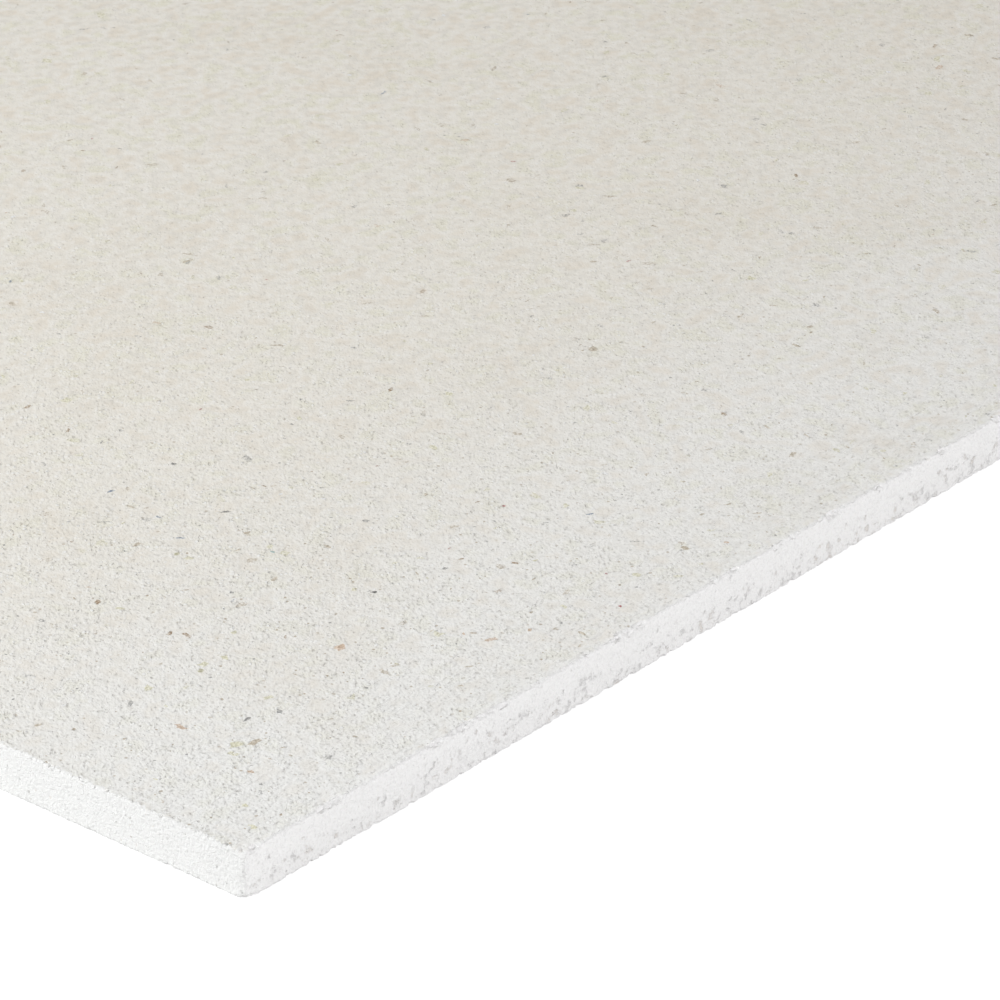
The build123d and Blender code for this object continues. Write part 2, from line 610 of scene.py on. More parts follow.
@dataclass(frozen=True)
class Looks:
    """The shared looks of the two kinds of surface, and the materials that are made of them."""

    face: ShaderGroup
    sawn: ShaderGroup
    relief: float = 0.45 * MM
    roughness: Range = (1.0, 0.8)
    sheen: float = 0.2
    # Reach of the painted shade in the face's pores next to an arris, and its share on torn edges
    arris_shade_reach: Range = (2.8 * MM, 1.2 * MM)
    torn_arris_shade: float = 0.5
    fray_size: float = 0.9 * MM
    fray_levels: Range = (0.3, 0.7)
    crushed: Colour = (0.90, 0.895, 0.89)
    crushed_share: float = 0.5
    fibre_size: float = 0.7 * MM
    fibre_roughness: float = 0.7
    fibre_levels: Range = (0.35, 0.65)
    fibre_shade: float = 0.75
    fibre_veil: float = 2.0
    sanded_veil: float = 0.5
    rim_veil: Range = (0.6, 1.05)

    @staticmethod
    def start(name: str) -> tuple[Material, NodeGraph, NodeSocket]:
        """Makes an empty material.

        Args:
            name: the material's name.

        Returns:
            The material, the graph of its nodes and the position's socket.
        """
        material = bpy.data.materials.new(name)
        material.use_nodes = True
        material.node_tree.nodes.clear()
        graph = NodeGraph(material.node_tree)
        return material, graph, graph.add("ShaderNodeTexCoord").outputs["Object"]

    @staticmethod
    def kept(graph: NodeGraph, name: str, output: str = "Fac") -> NodeSocket:
        """Reads what is kept on the mesh under a name."""
        return graph.add("ShaderNodeAttribute", attribute_name=name).outputs[output]

    def end(self, graph: NodeGraph, colour: Feed, height: Feed) -> None:
        """Ends a material in a matt Principled BSDF.

        Args:
            graph: the material's graph.
            colour: the colour's socket.
            height: the relief's socket, as a share of the relief's depth.
        """
        bump = graph.add("ShaderNodeBump", {"Height": height, "Strength": 1.0, "Distance": self.relief})
        inputs = {
            "Base Color": colour,
            "Roughness": graph.span(height, *self.roughness),
            "Specular IOR Level": self.sheen,
            "Normal": bump.outputs[0],
        }
        shader = graph.add("ShaderNodeBsdfPrincipled", inputs)
        graph.add("ShaderNodeOutputMaterial", {"Surface": shader.outputs[0]})

    def face_material(self) -> Material:
        """The faces' finish, away from the edges.

        Returns:
            The material.
        """
        material, graph, at = self.start("pressed_face")
        face = self.face.place(graph, {"Position": at, "Arris Shade": 0.0})
        self.end(graph, face["Color"], face["Height"])
        return material

    def edge_material(self) -> Material:
        """The edges' finish, which goes over raggedly from the face to the sawn gypsum.

        Returns:
            The material, which reads the wear that is kept on the mesh.
        """
        material, graph, at = self.start("sawn_edge")
        # Painted shade: more dark pores on the face close to a clean sawn arris, half as many on the torn
        # long edges
        near = graph.ramp(self.kept(graph, "inset"), *self.arris_shade_reach)
        near = graph.times(near, graph.span(self.kept(graph, "torn"), 1.0, self.torn_arris_shade))
        face = self.face.place(graph, {"Position": at, "Arris Shade": near})
        sawn = self.sawn.place(graph, {"Position": at, "Tear": self.kept(graph, "tear")})
        ragged = graph.plus(self.kept(graph, "sawn"), graph.stray(at, self.fray_size, FINER_NOISE))
        cut = graph.ramp(ragged, *self.fray_levels)
        colour = graph.blend(cut, face["Color"], sawn["Color"])
        crushed = graph.times(self.kept(graph, "crushed"), self.crushed_share)
        colour = graph.blend(crushed, colour, rgba(self.crushed))
        height = graph.add("ShaderNodeMix", {0: cut, 2: face["Height"], 3: sawn["Height"]}).outputs[0]
        self.end(graph, colour, height)
        return material

    def crumb_material(self) -> Material:
        """The crumbs' finish: broken gypsum all round.

        Returns:
            The material.
        """
        material, graph, at = self.start("gypsum_crumb")
        sawn = self.sawn.place(graph, {"Position": at, "Tear": 0.0})
        self.end(graph, sawn["Color"], sawn["Height"])
        return material

    def fleck_material(self) -> Material:
        """The flecks' finish: paper of their own colour, fading raggedly into the face around it.

        Returns:
            The material, which reads each fleck's paint, veil of gypsum and rim from the mesh.
        """
        material, graph, at = self.start("paper_fleck")
        paint = self.kept(graph, "paint", "Color")
        fibres = graph.noise(at, self.fibre_size, FINER_NOISE, self.fibre_roughness)
        deep = graph.vector("SCALE", paint, scale=self.fibre_shade)
        paper = graph.blend(graph.ramp(fibres, *self.fibre_levels), paint, deep)
        patchy = graph.times(graph.less(NOISE_MIDDLE, fibres), self.fibre_veil)
        face = self.face.place(graph, {"Position": at, "Arris Shade": 0.0})
        sanded = graph.times(graph.less(1.0, face["Fresh"]), self.sanded_veil)
        hidden = graph.plus(self.kept(graph, "veil"), sanded, patchy)
        rim = graph.ramp(self.kept(graph, "rim"), *self.rim_veil)
        hidden = graph.math("ADD", hidden, rim, clamp=True)
        self.end(graph, graph.blend(hidden, paper, face["Color"]), face["Height"])
        return material


def add_piece(name: str, mesh: Mesh) -> Object:
    """Puts a finished mesh into the scene.

    Args:
        name: the name of the piece and of its mesh.
        mesh: its mesh, in place.

    Returns:
        The new object.
    """
    mesh.name = name
    piece = bpy.data.objects.new(name, mesh)
    bpy.context.scene.collection.objects.link(piece)
    return piece


class Tear(Enum):
    """How a sawn edge came off the saw, with the corners between the two."""

    CLEAN = 0.0
    CORNER = 0.5
    TORN = 1.0


@dataclass
class BoardSheet:
    """The sheet itself: an edge profile swept round the outline, with both faces filled in."""

    length: float
    width: float
    thickness: float
    corner_radius: float = 1.2 * MM
    face_arris: float = 0.4 * MM
    back_arris: float = 0.6 * MM
    face_rows_mm: tuple[float, ...] = (7.0, 4.6, 3.0, 2.0, 1.35, 0.85)
    side_rows_mm: tuple[float, ...] = (0.8, 1.3, 1.9, 2.7, 3.8, 5.1, 6.5, 7.8, 9.0, 10.0, 10.8, 11.4)
    back_rows_mm: tuple[float, ...] = (1.0, 1.6, 2.6, 4.2)
    arris_degrees: tuple[float, ...] = (0.0, 30.0, 60.0, 90.0)
    fine_step: float = 0.4 * MM
    coarse_step: float = 2.4 * MM
    step_growth: float = 0.08
    fine_front: float = 285 * MM
    fine_left: float = 85 * MM
    corner_steps: int = 6
    squeeze_reach: float = 25 * MM
    fill_inset: float = 12 * MM
    fill_step: float = 5 * MM
    fill_growth: float = 1.6
    fill_weld: float = 1e-7
    open_face: float = 100 * MM
    crease: float = math.radians(40)

    # Saw teeth and bites along the face arris, and flakes off the long edges
    saw_tooth: float = 1.0 * MM
    teeth: Patches = Patches(1.3 * MM, 0.42, 0.72, roughness=0.65)
    bites: Patches = Patches(8 * MM, 0.60, 0.74)
    bite_share: float = 0.5
    long_teeth: float = 0.35
    long_ease: float = 0.15 * MM
    long_chip: float = 1.9 * MM
    flakes: Patches = Patches(7.0 * MM, 0.44, 0.68, NOISE_DETAIL, 0.6)
    flake_teeth: Range = (0.75, 1.0)
    flake_levels: Range = (0.45, 0.15)

    # Crumbled back arris, knocked corners and torn lower part of the long edges
    back_crumble: float = 1.3 * MM
    crumbs: Patches = Patches(2.4 * MM, 0.36, 0.70, NOISE_DETAIL, 0.75)
    clean_crumble: float = 0.75
    corner_chip: float = 0.9 * MM
    corner_reach: Range = (4.5 * MM, 0.5 * MM)
    corner_nick: float = 0.3
    corner_knock: float = 0.4
    knocks: Patches = Patches(2.5 * MM, 0.45, 0.75, NOISE_DETAIL)
    side_reach: Range = (0.5 * MM, 0.1 * MM)
    tear_depth: float = 0.4 * MM
    tear_band: Range = (0.75, 0.35)
    tear_wander: float = 9 * MM
    tear_pits: Patches = Patches(4.5 * MM, 0.45, 0.75)
    roughness: float = 0.3 * MM
    rough_size: float = 1.1 * MM
    rough_grain: float = 0.6
    rough_reach: Range = (4.0 * MM, 1.0 * MM)

    # Where the finishes change
    broken_depth: Range = (0.02 * MM, 0.12 * MM)
    sawn_size: float = 1.8 * MM
    sawn_stray: float = 4.5 * MM
    sawn_start: Range = (-0.8 * MM, -0.1 * MM)
    sawn_reach: Range = (2.2 * MM, 1.2 * MM)
    crushed_reach: Range = (1.4 * MM, 0.3 * MM)
    face_start: float = 4.1 * MM

    def profile(self) -> np.ndarray:
        """The edge's section, from inside the visible face round to inside the back face.

        Returns:
            Rows of the distance in from the sawn plane and the height above the back face.
        """
        top, face, back = self.thickness, self.face_arris, self.back_arris
        turns = np.radians(self.arris_degrees)
        rows = [(inset * MM, top) for inset in self.face_rows_mm]
        for turn in turns[::-1]:
            rows.append((face - face * math.cos(turn), top - face + face * math.sin(turn)))
        rows += [(0.0, top - below * MM) for below in self.side_rows_mm]
        for turn in turns:
            rows.append((back - back * math.cos(turn), back - back * math.sin(turn)))
        rows += [(inset * MM, 0.0) for inset in self.back_rows_mm]
        return np.array(rows)

    def step_at(self, beyond: float) -> float:
        """The spacing of the stations, growing with the distance beyond the photographed stretch."""
        return min(self.coarse_step, self.fine_step + self.step_growth * max(0.0, beyond))

    def side_stations(self, run: float, fine_start: float, fine_end: float) -> np.ndarray:
        """Spaces the stations of one straight side.

        Args:
            run: the side's straight length.
            fine_start: how far the fine spacing reaches from the side's start.
            fine_end: how far it reaches from the side's end.

        Returns:
            Distances along the side, without its two ends.
        """
        places = [0.0]
        while places[-1] < run:
            here = places[-1]
            beyond = min(here - fine_start, run - fine_end - here)
            places.append(here + self.step_at(beyond))
        spaced = np.array(places) * run / places[-1]
        return spaced[1:-1]

    def outline(self) -> tuple[np.ndarray, np.ndarray, np.ndarray, np.ndarray]:
        """Walks the outline once, from the photographed corner along the front edge.

        Returns:
            For each station the outward direction, the middle of its side or else its corner, the step
            along the side from that middle, which a corner lacks, and how torn its edge is.
        """
        quarter = math.pi / 2
        half = np.array([self.length, self.width]) / 2
        sides = (
            (-quarter, self.length, self.fine_front, 0.0, Tear.TORN),
            (0.0, self.width, 0.0, 0.0, Tear.CLEAN),
            (quarter, self.length, 0.0, 0.0, Tear.TORN),
            (2 * quarter, self.width, 0.0, self.fine_left, Tear.CLEAN),
        )
        outward, base, shift, torn = [], [], [], []
        for heading, full, fine_start, fine_end, tear in sides:
            normal = np.round([math.cos(heading), math.sin(heading)])
            ahead = np.array([-normal[1], normal[0]])
            run = full - 2 * self.corner_radius
            for along in self.side_stations(run, fine_start, fine_end):
                outward.append(normal)
                base.append(normal * (half @ abs(normal)))
                shift.append(ahead * (along - run / 2))
                torn.append(tear.value)
            for step in range(self.corner_steps + 1):
                turn = heading + quarter * step / self.corner_steps
                outward.append(np.array([math.cos(turn), math.sin(turn)]))
                base.append(np.sign(normal + ahead) * half)
                shift.append(np.full(2, np.nan))
                torn.append(Tear.CORNER.value)
        return np.array(outward), np.array(base), np.array(shift), np.array(torn)

    def ring(self, stations: tuple[np.ndarray, ...], inset: float) -> np.ndarray:
        """Places every station at one distance in from the sawn plane.

        Args:
            stations: what outline() returns.
            inset: the distance in.

        Returns:
            The stations' places in plan.
        """
        outward, base, shift, _ = stations
        half = np.array([self.length, self.width]) / 2
        in_arc = np.isnan(shift[:, 0])
        arcs = np.sign(base) * (half - inset - self.corner_radius) + self.corner_radius * outward
        drift = np.nan_to_num(shift)
        reach = np.where(abs(outward).round(), 0.0, half - self.corner_radius)
        to_end = np.clip((reach - abs(drift)) / self.squeeze_reach, 0.0, 1.0)
        drift = drift - np.sign(drift) * inset * (1.0 - to_end) ** 2
        return np.where(in_arc[:, None], arcs, base - outward * inset + drift)

    def fill(self, ring: np.ndarray) -> tuple[np.ndarray, np.ndarray]:
        """Fills a face inside its ring with triangles that grow towards the middle.

        Args:
            ring: the face's rim in plan.

        Returns:
            The added points in plan, and triangles over the rim's points followed by the added ones.
        """
        added = []
        inset, step = self.fill_inset, self.fill_step
        while inset < self.width / 2 - step:
            across, along = self.width / 2 - inset, self.length / 2 - inset
            count_x, count_y = (max(2, round(2 * side / step)) for side in (along, across))
            for side in (-1.0, 1.0):
                added += [(x, side * across) for x in np.linspace(-along, along, count_x + 1)]
                added += [(side * along, y) for y in np.linspace(-across, across, count_y + 1)[1:-1]]
            inset, step = inset + step, step * self.fill_growth
        points = [Vector(point) for point in (*ring, *added)]
        count = len(ring)
        rim = [(i, (i + 1) % count) for i in range(count)]
        _, _, faces, origins, _, _ = delaunay_2d_cdt(points, rim, [], 1, self.fill_weld)
        triangles = [[origins[i][0] for i in face] for face in faces]
        return np.array(added), np.array(triangles)

    def square_mesh(self) -> Mesh:
        """Builds the board as the saw should have left it, before any wear.

        Returns:
            A closed mesh with the attributes that the wear reads.
        """
        stations = self.outline()
        outward, _, _, torn = stations
        profile = self.profile()
        count, rows = len(outward), len(profile)
        rings = [self.ring(stations, inset) for inset in profile[:, 0]]
        heights = np.repeat(profile[:, 1], count)
        points = np.column_stack([np.concatenate(rings), heights])
        here = np.arange(count)
        after = np.roll(here, -1)
        quads = np.column_stack([here, here + count, after + count, after])
        faces = [tuple(quad) for row in range(rows - 1) for quad in quads + row * count]
        last_ring = (rows - 1) * count
        for first, height, flip in ((0, self.thickness, 1), (last_ring, 0.0, -1)):
            added, triangles = self.fill(rings[first // count])
            start = len(points)
            points = np.concatenate([points, np.column_stack([added, np.full(len(added), height)])])
            index = np.concatenate([first + here, np.arange(start, len(points))])
            faces += [tuple(triangle[::flip]) for triangle in index[triangles]]
        mesh = bpy.data.meshes.new("square_board")
        mesh.from_pydata(points.tolist(), [], faces)
        spare = len(points) - rows * count
        insets = np.repeat(profile[:, 0], count)
        keep(mesh, "inset", "FLOAT", np.concatenate([insets, np.full(spare, self.open_face)]))
        flat = np.column_stack([np.tile(outward, (rows, 1)), np.zeros(rows * count)])
        keep(mesh, "outward", "FLOAT_VECTOR", np.concatenate([flat, np.zeros((spare, 3))]))
        keep(mesh, "torn", "FLOAT", np.concatenate([np.tile(torn, rows), np.zeros(spare)]))
        return mesh

    @staticmethod
    def chamfer(tree: GeometryTree, cut: Feed, near: Feed) -> NodeSocket:
        """How far a point that a cut takes off moves both in and down, onto the cut's even slope."""
        return tree.math("DIVIDE", tree.math("MAXIMUM", tree.less(cut, near), 0.0), 2.0)

    def wear_tree(self, face: Material, edge: Material) -> GeometryTree:
        """Builds the tree that crumbles the arrises and tears the long edges.

        Args:
            face: the faces' finish.
            edge: the edges' finish.

        Returns:
            The tree, ready to run.
        """
        tree = GeometryTree("edge_wear")
        thickness = tree.value("Thickness", self.thickness)
        half_length = tree.value("Half Length", self.length / 2)
        half_width = tree.value("Half Width", self.width / 2)
        at = tree.add("GeometryNodeInputPosition").outputs[0]
        place = tree.add("ShaderNodeSeparateXYZ", {0: at}).outputs
        inset, torn = tree.attribute("inset"), tree.attribute("torn")
        below = tree.less(thickness, place["Z"])
        near_face = tree.plus(inset, below)
        near_back = tree.plus(inset, place["Z"])
        on_side = tree.ramp(inset, *self.side_reach)
        along = tree.less(half_length, tree.math("ABSOLUTE", place["X"]))
        across = tree.less(half_width, tree.math("ABSOLUTE", place["Y"]))
        corner = tree.ramp(tree.math("MAXIMUM", along, across), *self.corner_reach)
        corner_chip = tree.times(corner, tree.value("Corner Chip", self.corner_chip))

        # Saw teeth along the face arris of the short edges, and flakes off that of the long ones
        teeth = self.teeth.mask(tree, at)
        bitten = tree.plus(teeth, tree.times(self.bites.mask(tree, at), self.bite_share))
        bitten = tree.times(tree.value("Saw Tooth", self.saw_tooth), bitten)
        bitten = tree.times(bitten, tree.span(torn, 1.0, self.long_teeth))
        eased = tree.times(tree.value("Long Edge Ease", self.long_ease), torn)
        flaked = tree.times(self.flakes.mask(tree, at), torn, tree.span(teeth, *self.flake_teeth))
        chipped = tree.times(flaked, tree.value("Long Edge Chip", self.long_chip))
        nicked = tree.times(corner_chip, self.corner_nick)
        off_face = self.chamfer(tree, tree.plus(bitten, eased, chipped, nicked), near_face)

        # Crumbled back arris, worst where the saw broke out of the long edges
        crumbled = tree.times(tree.value("Back Crumble", self.back_crumble), self.crumbs.mask(tree, at))
        crumbled = tree.times(crumbled, tree.span(torn, self.clean_crumble, 1.0))
        off_back = self.chamfer(tree, tree.plus(crumbled, corner_chip), near_back)

        # Torn lower part of the long edges, below a wandering line
        line = tree.plus(place["Z"], tree.times(tree.stray(at, self.tear_wander), thickness))
        lower = tree.ramp(line, *(tree.times(thickness, share) for share in self.tear_band))
        tear = tree.times(lower, on_side, torn)
        dug = tree.times(tear, self.tear_pits.mask(tree, at), tree.value("Tear Depth", self.tear_depth))
        knocked = tree.times(corner_chip, self.knocks.mask(tree, at), on_side, self.corner_knock)

        # Fine roughness of every edge, fading out across the margin of the faces
        rough = tree.stray(at, self.rough_size, FINER_NOISE, self.rough_grain)
        rough = tree.times(rough, tree.value("Roughness", self.roughness))
        rough = tree.times(rough, tree.ramp(inset, *self.rough_reach))
        rough = tree.vector("SCALE", tree.add("GeometryNodeInputNormal").outputs[0], scale=rough)

        inward = tree.plus(off_face, off_back, dug, knocked)
        outward = tree.attribute("outward", "FLOAT_VECTOR")
        aside = tree.vector("SCALE", outward, scale=tree.times(inward, -1.0))
        lift = tree.add("ShaderNodeCombineXYZ", {2: tree.less(off_back, off_face)}).outputs[0]
        offset = tree.vector("ADD", tree.vector("ADD", aside, lift), rough)

        # What the finishes read: where the surface is sawn or broken, torn, or crushed
        unbroken = tree.times(torn, tree.ramp(flaked, *self.flake_levels))
        broken = tree.times(tree.ramp(off_face, *self.broken_depth), tree.less(1.0, unbroken))
        strays = tree.times(tree.stray(at, self.sawn_size, FINER_NOISE), self.sawn_stray)
        sides = tree.ramp(tree.plus(tree.less(below, inset), strays), *self.sawn_start)
        sides = tree.times(sides, tree.ramp(inset, *self.sawn_reach))
        crushed = tree.times(tree.ramp(near_face, *self.crushed_reach), torn)
        marks = {"sawn": tree.math("MAXIMUM", broken, sides), "tear": tear, "crushed": crushed}
        geometry = tree.start.outputs[0]
        for name, mark in marks.items():
            geometry = tree.store(geometry, name, mark)
        inputs = {"Geometry": geometry, "Offset": offset}
        geometry = tree.add("GeometryNodeSetPosition", inputs).outputs[0]
        edge_finish = tree.value("Edge Finish", edge, "NodeSocketMaterial")
        inputs = {"Geometry": geometry, "Material": edge_finish}
        geometry = tree.add("GeometryNodeSetMaterial", inputs).outputs[0]
        tree.finish(geometry, face, tree.math("GREATER_THAN", inset, self.face_start))
        return tree

    def build(self, looks: Looks) -> Object:
        """Builds the worn board.

        Args:
            looks: the finishes' looks.

        Returns:
            The board's object.
        """
        tree = self.wear_tree(looks.face_material(), looks.edge_material())
        mesh = tree.run(self.square_mesh())
        mesh.shade_smooth()
        mesh.set_sharp_from_angle(angle=self.crease)
        return add_piece("board", mesh)


class FleckTree(GeometryTree):
    """A tree that presses flat flecks or round crumbs into the board."""

    disc_radius = 0.5
    disc_rings = 2
    lift = (0.0, 0.0, 0.2)
    ragged_size = 0.6 * MM
    raggedness = 1.6

    def press(
        self, points: Feed, paint: Feed, turned: Feed, lengths: tuple[Feed, Feed, Feed], sides: int
    ) -> NodeSocket:
        """Sets one ragged disc on each point, its underside sunk into the board.

        Args:
            points: the points, which carry the way that each faces.
            paint: each disc's colour.
            turned: each disc's rotation.
            lengths: each disc's length, width and thickness.
            sides: how many sides a disc has.

        Returns:
            The discs' geometry.
        """
        points = self.store(points, "paint", paint, "FLOAT_COLOR")
        points = self.store(points, "girth", lengths[1])
        size = self.add("ShaderNodeCombineXYZ", dict(enumerate(lengths))).outputs[0]
        inputs = {"Segments": sides, "Rings": self.disc_rings, "Radius": self.disc_radius}
        disc = self.add("GeometryNodeMeshUVSphere", inputs).outputs[0]
        at = self.add("GeometryNodeInputPosition").outputs[0]
        per_radius = 1.0 / self.disc_radius
        rim = self.vector("LENGTH", self.vector("MULTIPLY", at, (per_radius, per_radius, 0.0)))
        inputs = {"Geometry": self.store(disc, "rim", rim), "Translation": self.lift}
        disc = self.add("GeometryNodeTransform", inputs).outputs[0]
        inputs = {"Points": points, "Instance": disc, "Rotation": turned, "Scale": size}
        discs = self.add("GeometryNodeInstanceOnPoints", inputs).outputs[0]
        discs = self.add("GeometryNodeRealizeInstances", {"Geometry": discs}).outputs[0]
        jitter = self.noise(at, self.ragged_size, FINER_NOISE, output="Color")
        jitter = self.vector("SUBTRACT", jitter, (NOISE_MIDDLE,) * 3)
        jitter = self.vector("SCALE", jitter, scale=self.times(self.attribute("girth"), self.raggedness))
        facing = self.attribute("facing", "FLOAT_VECTOR")
        upright = self.vector("SCALE", facing, scale=self.vector("DOT_PRODUCT", jitter, facing))
        inputs = {"Geometry": discs, "Offset": self.vector("SUBTRACT", jitter, upright)}
        return self.add("GeometryNodeSetPosition", inputs).outputs[0]


class Bed(Enum):
    """Where a scatter lies, as the range of distances in from the sawn plane that it grows over."""

    FACE = (3.0 * MM, 5.0 * MM)
    MARGIN = (5.0 * MM, 1.0 * MM)


@dataclass(frozen=True)
class Scatter:
    """Flat flecks or round crumbs of one kind, scattered over the board."""

    name: str
    per_square_metre: float
    lengths: Range
    slimness: Range
    seed: int
    paint: Colour
    veils: Range = (0.0, 0.7)
    bed: Bed = Bed.FACE
    proud: float = 0.05 * MM
    bulk: float = 0.0
    back_share: float = 1.0
    back_turn: Range = (-0.9, -0.4)
    length_bias: float = 2.0
    sides: int = 8

    def tree(self, material: Material) -> FleckTree:
        """Builds the tree that scatters them.

        Args:
            material: their finish.

        Returns:
            The tree, ready to run over the board.
        """
        tree = FleckTree(self.name)
        seed = tree.value("Seed", self.seed, "NodeSocketInt")
        turn_seed, length_seed, width_seed, veil_seed = (tree.plus(seed, float(n)) for n in range(1, 5))
        bed = tree.ramp(tree.attribute("inset"), *self.bed.value)
        up = tree.vector("DOT_PRODUCT", tree.add("GeometryNodeInputNormal").outputs[0], UP)
        share = tree.span(tree.ramp(up, *self.back_turn), tree.value("Back Share", self.back_share), 1.0)
        density = tree.times(tree.value("Number per Square Metre", self.per_square_metre), bed, share)
        inputs = {"Mesh": tree.start.outputs[0], "Density": density, "Seed": seed}
        spots = tree.add("GeometryNodeDistributePointsOnFaces", inputs).outputs
        inputs = {"Angle": tree.random(0.0, math.pi, turn_seed)}
        spin = tree.add("FunctionNodeAxisAngleToRotation", inputs).outputs[0]
        inputs = {0: spots["Rotation"], 1: spin}
        turned = tree.add("FunctionNodeRotateRotation", inputs, rotation_space="LOCAL").outputs[0]
        few_large = tree.math("POWER", tree.random(0.0, 1.0, length_seed), self.length_bias)
        limits = zip(("Shortest", "Longest"), self.lengths)
        long = tree.span(few_large, *(tree.value(*limit) for limit in limits))
        limits = zip(("Slimmest", "Stoutest"), self.slimness)
        wide = tree.times(long, tree.random(*(tree.value(*limit) for limit in limits), width_seed))
        thick = tree.times(wide, tree.value("Bulk", self.bulk))
        thick = tree.plus(thick, tree.value("Proud", self.proud))
        points = tree.store(spots["Points"], "veil", tree.random(*self.veils, veil_seed))
        points = tree.store(points, "facing", spots["Normal"], "FLOAT_VECTOR")
        paint = tree.value("Paint", rgba(self.paint), COLOUR)
        tree.finish(tree.press(points, paint, turned, (long, wide, thick), self.sides), material)
        return tree

    def build(self, board: Object, material: Material) -> Object:
        """Scatters them over the board in their finish, as one object."""
        return add_piece(self.name, self.tree(material).run(board.data.copy()))


BLACK, GREY = (0.16, 0.16, 0.155), (0.40, 0.395, 0.385)
BROWN, TAN = (0.46, 0.34, 0.23), (0.64, 0.56, 0.45)
ORANGE, YELLOW, OLIVE = (0.75, 0.57, 0.43), (0.85, 0.82, 0.63), (0.64, 0.61, 0.44)
RED, BLUE, TEAL = (0.50, 0.17, 0.17), (0.26, 0.32, 0.42), (0.22, 0.40, 0.40)

FLECKS = (
    Scatter("grey_flecks", 2600, (1.0 * MM, 4.2 * MM), (0.22, 0.65), 11, GREY, (0.15, 0.75)),
    Scatter("tan_flecks", 3600, (1.2 * MM, 4.8 * MM), (0.28, 0.60), 23, TAN, (0.0, 0.7)),
    Scatter("brown_flecks", 600, (1.2 * MM, 4.0 * MM), (0.25, 0.55), 29, BROWN, (0.1, 0.7)),
    Scatter("yellow_flecks", 1800, (1.6 * MM, 4.5 * MM), (0.40, 0.85), 37, YELLOW, (0.0, 0.6)),
    Scatter("orange_flecks", 220, (1.8 * MM, 5.0 * MM), (0.35, 0.70), 31, ORANGE, (0.0, 0.6)),
    Scatter("red_flecks", 120, (0.9 * MM, 2.4 * MM), (0.35, 0.70), 41, RED, (0.0, 0.6)),
    Scatter("blue_flecks", 160, (1.2 * MM, 4.2 * MM), (0.18, 0.40), 53, BLUE, (0.1, 0.7)),
)
CRUMB = {"paint": YELLOW, "back_share": 0.0}
CRUMBS = (
    Scatter(
        "margin_crumbs", 9000, (0.25 * MM, 0.8 * MM), (0.6, 0.9), 67, **CRUMB, bed=Bed.MARGIN, bulk=0.7
    ),
    Scatter("face_blisters", 300, (0.7 * MM, 2.0 * MM), (0.5, 0.9), 71, **CRUMB, bulk=0.12),
)


@dataclass(frozen=True)
class PhotoView:
    """The photograph's camera, found from the board's near corner and the way that its edges run."""

    corner: Vector
    photo_pixels: float = 1000.0
    lens: float = 252.0
    sensor: float = 36.0
    azimuth: float = math.radians(-49.59)
    elevation: float = math.radians(27.77)
    corner_pixel: tuple[float, float] = (245.1, 853.0)
    corner_depth: float = 1.5358

    def axes(self) -> tuple[Vector, Vector, Vector]:
        """The camera's right, up and back directions.

        Returns:
            The three directions.
        """
        a, e = self.azimuth, self.elevation
        right = Vector((math.cos(a), math.sin(a), 0.0))
        back = Vector((math.sin(a) * math.cos(e), -math.cos(a) * math.cos(e), math.sin(e)))
        return right, back.cross(right), back

    def ray(self, pixel: tuple[float, float]) -> Vector:
        """The way that a pixel looks.

        Args:
            pixel: its place in the photograph.

        Returns:
            The step that the sight line takes for each metre of depth.
        """
        right, up, back = self.axes()
        per_pixel = self.sensor / self.lens / self.photo_pixels
        middle = self.photo_pixels / 2
        return (right * (pixel[0] - middle) + up * (middle - pixel[1])) * per_pixel - back

    def place(self) -> Vector:
        """Where the camera stands for the near corner to fall on its pixel."""
        return self.corner - self.ray(self.corner_pixel) * self.corner_depth

    def on_face(self, pixel: tuple[float, float]) -> Vector:
        """The point of the visible face that a pixel shows."""
        place, ray = self.place(), self.ray(pixel)
        return place + ray * ((self.corner.z - place.z) / ray.z)

    def hang(self) -> None:
        """Hangs the camera."""
        data = bpy.data.cameras.new("photo_camera")
        data.lens = self.lens
        data.sensor_width = self.sensor
        camera = bpy.data.objects.new("photo_camera", data)
        turn = Matrix(self.axes()).transposed().to_4x4()
        camera.matrix_world = Matrix.Translation(self.place()) @ turn
        bpy.context.scene.collection.objects.link(camera)
        bpy.context.scene.camera = camera


@dataclass(frozen=True)
class MarkedFleck:
    """One fleck that stands out in the photograph: its pixel there, size and lean in degrees."""

    pixel: tuple[float, float]
    length: float
    width: float
    lean: float
    paint: Colour


